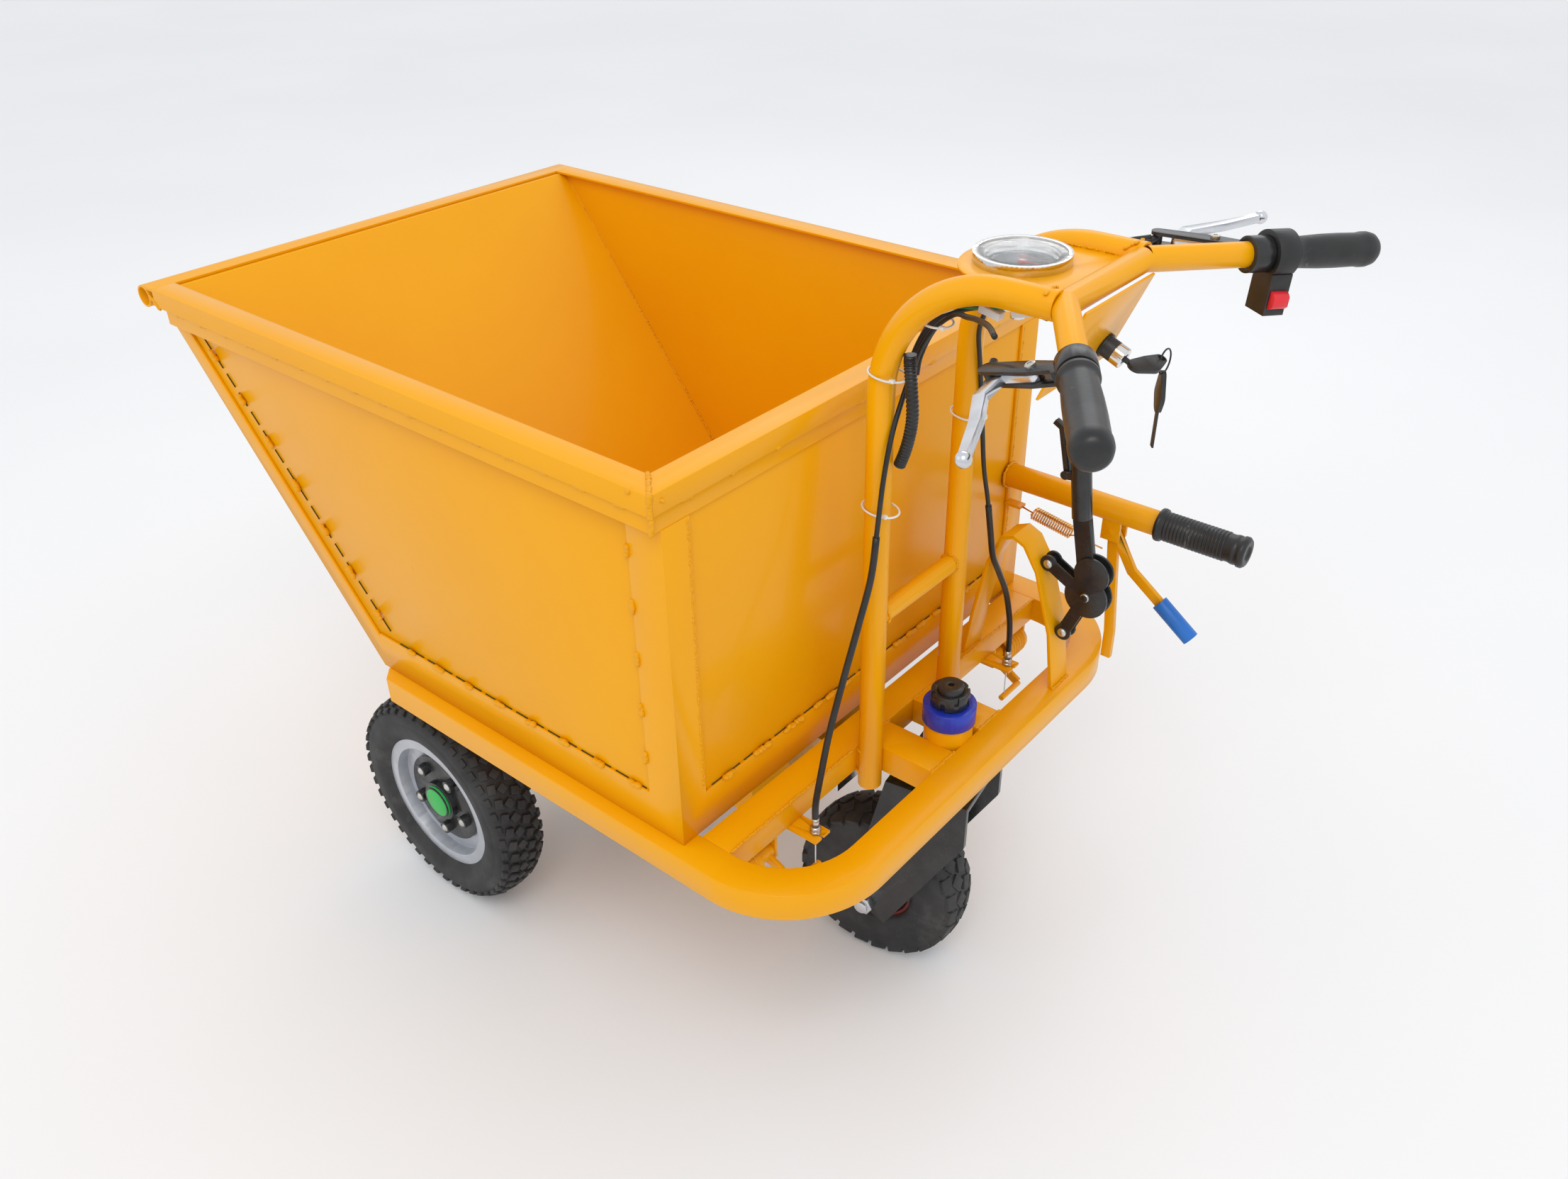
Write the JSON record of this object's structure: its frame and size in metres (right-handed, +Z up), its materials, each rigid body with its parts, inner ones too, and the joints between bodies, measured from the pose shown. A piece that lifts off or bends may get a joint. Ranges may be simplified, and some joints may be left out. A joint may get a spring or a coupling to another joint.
{
  "type": "power wheelbarrow",
  "caption": "Electric walk-behind wheelbarrow: a steel hopper that tips forward on a tubular chassis, driven front wheels, a swivelling rear wheel and hand controls.",
  "frame": {"origin": "middle of the machine's overall box, on the ground", "axes": "+X forward to the dump lip, +Y left, +Z up"},
  "size_m": [1.4793, 0.808, 1.112],
  "materials": {
    "yellow_paint": "gloss",
    "black_paint": "gloss",
    "chrome": "polished",
    "bare_metal": "polished",
    "motor_grey": "satin",
    "black_plastic": "satin",
    "black_rubber": "satin",
    "blue_plastic": "gloss",
    "blue_vinyl": "satin",
    "clear_glass": "clear",
    "red_plastic": "gloss",
    "tyre_rubber": "matt",
    "silver_rim": "satin",
    "dark_red_paint": "satin",
    "spring_wire": "plated"
  },
  "bodies": {
    "chassis": {"frame_rail": "yellow_paint", "cross_members": "yellow_paint", "spindle_stubs": "yellow_paint", "spindle_housing": "yellow_paint", "bearing_cap": "blue_plastic", "handle_columns": "yellow_paint", "handlebar": "yellow_paint", "gauge_plate": "yellow_paint", "switch_panel": "yellow_paint", "cable_tabs": "yellow_paint", "brake_arch": "yellow_paint", "drive_axle": "black_paint", "drive_motor": "motor_grey", "battery_tray": "yellow_paint", "batteries": "black_plastic", "controller": "bare_metal", "gauge_case": "chrome", "gauge_glass": "clear_glass", "key_switch": "black_plastic", "brake_perches": "black_paint", "grip_left": "black_rubber", "throttle_housing": "black_plastic", "brake_cable_left": "black_rubber", "brake_cable_right": "black_rubber", "loose_conduit": "black_rubber", "hinge_brackets": "yellow_paint", "ratchet_body": "black_paint", "relay_shafts": "yellow_paint"},
    "hopper": {"hopper_shell": "yellow_paint", "hopper_rim": "yellow_paint", "hopper_angles": "yellow_paint", "lip_pipe": "yellow_paint", "hinge_lugs": "yellow_paint", "tip_handle": "yellow_paint", "tip_grip": "black_rubber", "latch_spring": "spring_wire"},
    "latch": {"latch_lever": "yellow_paint", "latch_grip": "blue_vinyl"},
    "left_wheel": {"tyre_left": "tyre_rubber", "rim_left": "silver_rim", "hub_left": "black_paint"},
    "right_wheel": {"tyre_right": "tyre_rubber", "rim_right": "silver_rim", "hub_right": "black_paint"},
    "swivel": {"caster_fork": "black_paint", "spindle_nuts": "black_paint", "rear_axle": "bare_metal"},
    "rear_wheel": {"rear_tyre": "tyre_rubber", "rear_rim": "dark_red_paint"},
    "needle": {"gauge_needle": "red_plastic"},
    "key": {"ignition_key": "black_plastic"},
    "spare": {"spare_key": "black_plastic"},
    "left_lever": {"brake_lever_left": "bare_metal"},
    "right_lever": {"brake_lever_right": "bare_metal"},
    "throttle": {"throttle_grip": "black_rubber"},
    "rocker": {"rocker_switch": "red_plastic"},
    "parking_lever": {"ratchet_lever": "black_paint"},
    "parking_release": {"ratchet_release": "black_paint"},
    "left_relay": {"relay_arm_left": "yellow_paint"},
    "right_relay": {"relay_arm_right": "yellow_paint"}
  },
  "joints": [
    {"name": "hopper_tip", "type": "hinge", "parent": "chassis", "child": "hopper", "pos_m": [0.32147, 0, 0.413], "axis": [0, 1, 0], "range_deg": [0, 65]},
    {"name": "latch_pivot", "type": "hinge", "parent": "hopper", "child": "latch", "pos_m": [-0.45853, -0.342, 0.612], "axis": [0, 1, 0], "range_deg": [0, 12], "stiffness_Nm_per_rad": 8, "springref_deg": -14.32},
    {"name": "left_wheel_spin", "type": "hinge", "parent": "chassis", "child": "left_wheel", "pos_m": [0.27647, 0.34, 0.178], "axis": [0, 1, 0], "continuous": true},
    {"name": "right_wheel_spin", "type": "hinge", "parent": "chassis", "child": "right_wheel", "pos_m": [0.27647, -0.34, 0.178], "axis": [0, 1, 0], "continuous": true},
    {"name": "caster_swivel", "type": "hinge", "parent": "chassis", "child": "swivel", "pos_m": [-0.41253, 0, 0.42], "axis": [0, 0, 1], "continuous": true},
    {"name": "rear_wheel_spin", "type": "hinge", "parent": "swivel", "child": "rear_wheel", "pos_m": [-0.32973, 0.01415, 0.13], "axis": [-0.1685, 0.9857, 0], "continuous": true},
    {"name": "gauge_needle_turn", "type": "hinge", "parent": "chassis", "child": "needle", "pos_m": [-0.46253, 0, 1.096], "axis": [0, 0, 1], "range_deg": [-110, 110]},
    {"name": "key_turn", "type": "hinge", "parent": "chassis", "child": "key", "pos_m": [-0.54853, -0.04, 1.012], "axis": [0.9205, 0, 0.3907], "range_deg": [0, 90]},
    {"name": "spare_key_swing", "type": "hinge", "parent": "key", "child": "spare", "pos_m": [-0.59639, -0.083, 0.99168], "axis": [1, 0, 0], "range_deg": [-8, 8]},
    {"name": "left_brake_lever", "type": "hinge", "parent": "chassis", "child": "left_lever", "pos_m": [-0.59405, 0.1937, 1.06901], "axis": [0.3892, 0.2625, 0.8829], "range_deg": [0, 18], "stiffness_Nm_per_rad": 6, "springref_deg": -11.46},
    {"name": "right_brake_lever", "type": "hinge", "parent": "chassis", "child": "right_lever", "pos_m": [-0.59036, -0.19619, 1.08685], "axis": [0, 0, -1], "range_deg": [0, 18], "stiffness_Nm_per_rad": 6, "springref_deg": -11.46},
    {"name": "throttle_twist", "type": "hinge", "parent": "chassis", "child": "throttle", "pos_m": [-0.63753, -0.19816, 1.08685], "axis": [-0.558, -0.8272, -0.0663], "range_deg": [0, 60], "stiffness_Nm_per_rad": 0.5, "springref_deg": -11.46},
    {"name": "rocker_tilt", "type": "hinge", "parent": "chassis", "child": "rocker", "pos_m": [-0.6524, -0.18444, 1.04096], "axis": [-0.558, -0.8272, -0.0663], "range_deg": [-10, 10]},
    {"name": "parking_brake_pull", "type": "hinge", "parent": "chassis", "child": "parking_lever", "pos_m": [-0.50053, -0.192, 0.592], "axis": [0, -1, 0], "range_deg": [0, 35]},
    {"name": "parking_brake_release", "type": "hinge", "parent": "parking_lever", "child": "parking_release", "pos_m": [-0.44953, -0.192, 0.76], "axis": [0, -1, 0], "range_deg": [0, 5], "stiffness_Nm_per_rad": 0.5, "springref_deg": -17.19},
    {"name": "left_relay_turn", "type": "hinge", "parent": "chassis", "child": "left_relay", "pos_m": [-0.31453, 0.277, 0.36], "axis": [0, 1, 0], "range_deg": [0, 15]},
    {"name": "right_relay_turn", "type": "hinge", "parent": "chassis", "child": "right_relay", "pos_m": [-0.31453, -0.277, 0.36], "axis": [0, 1, 0], "range_deg": [0, 15]}
  ],
  "couplings": [
    {"joint": "left_relay_turn", "follows": "left_brake_lever", "ratio": 0.8},
    {"joint": "right_relay_turn", "follows": "right_brake_lever", "ratio": 0.8}
  ]
}
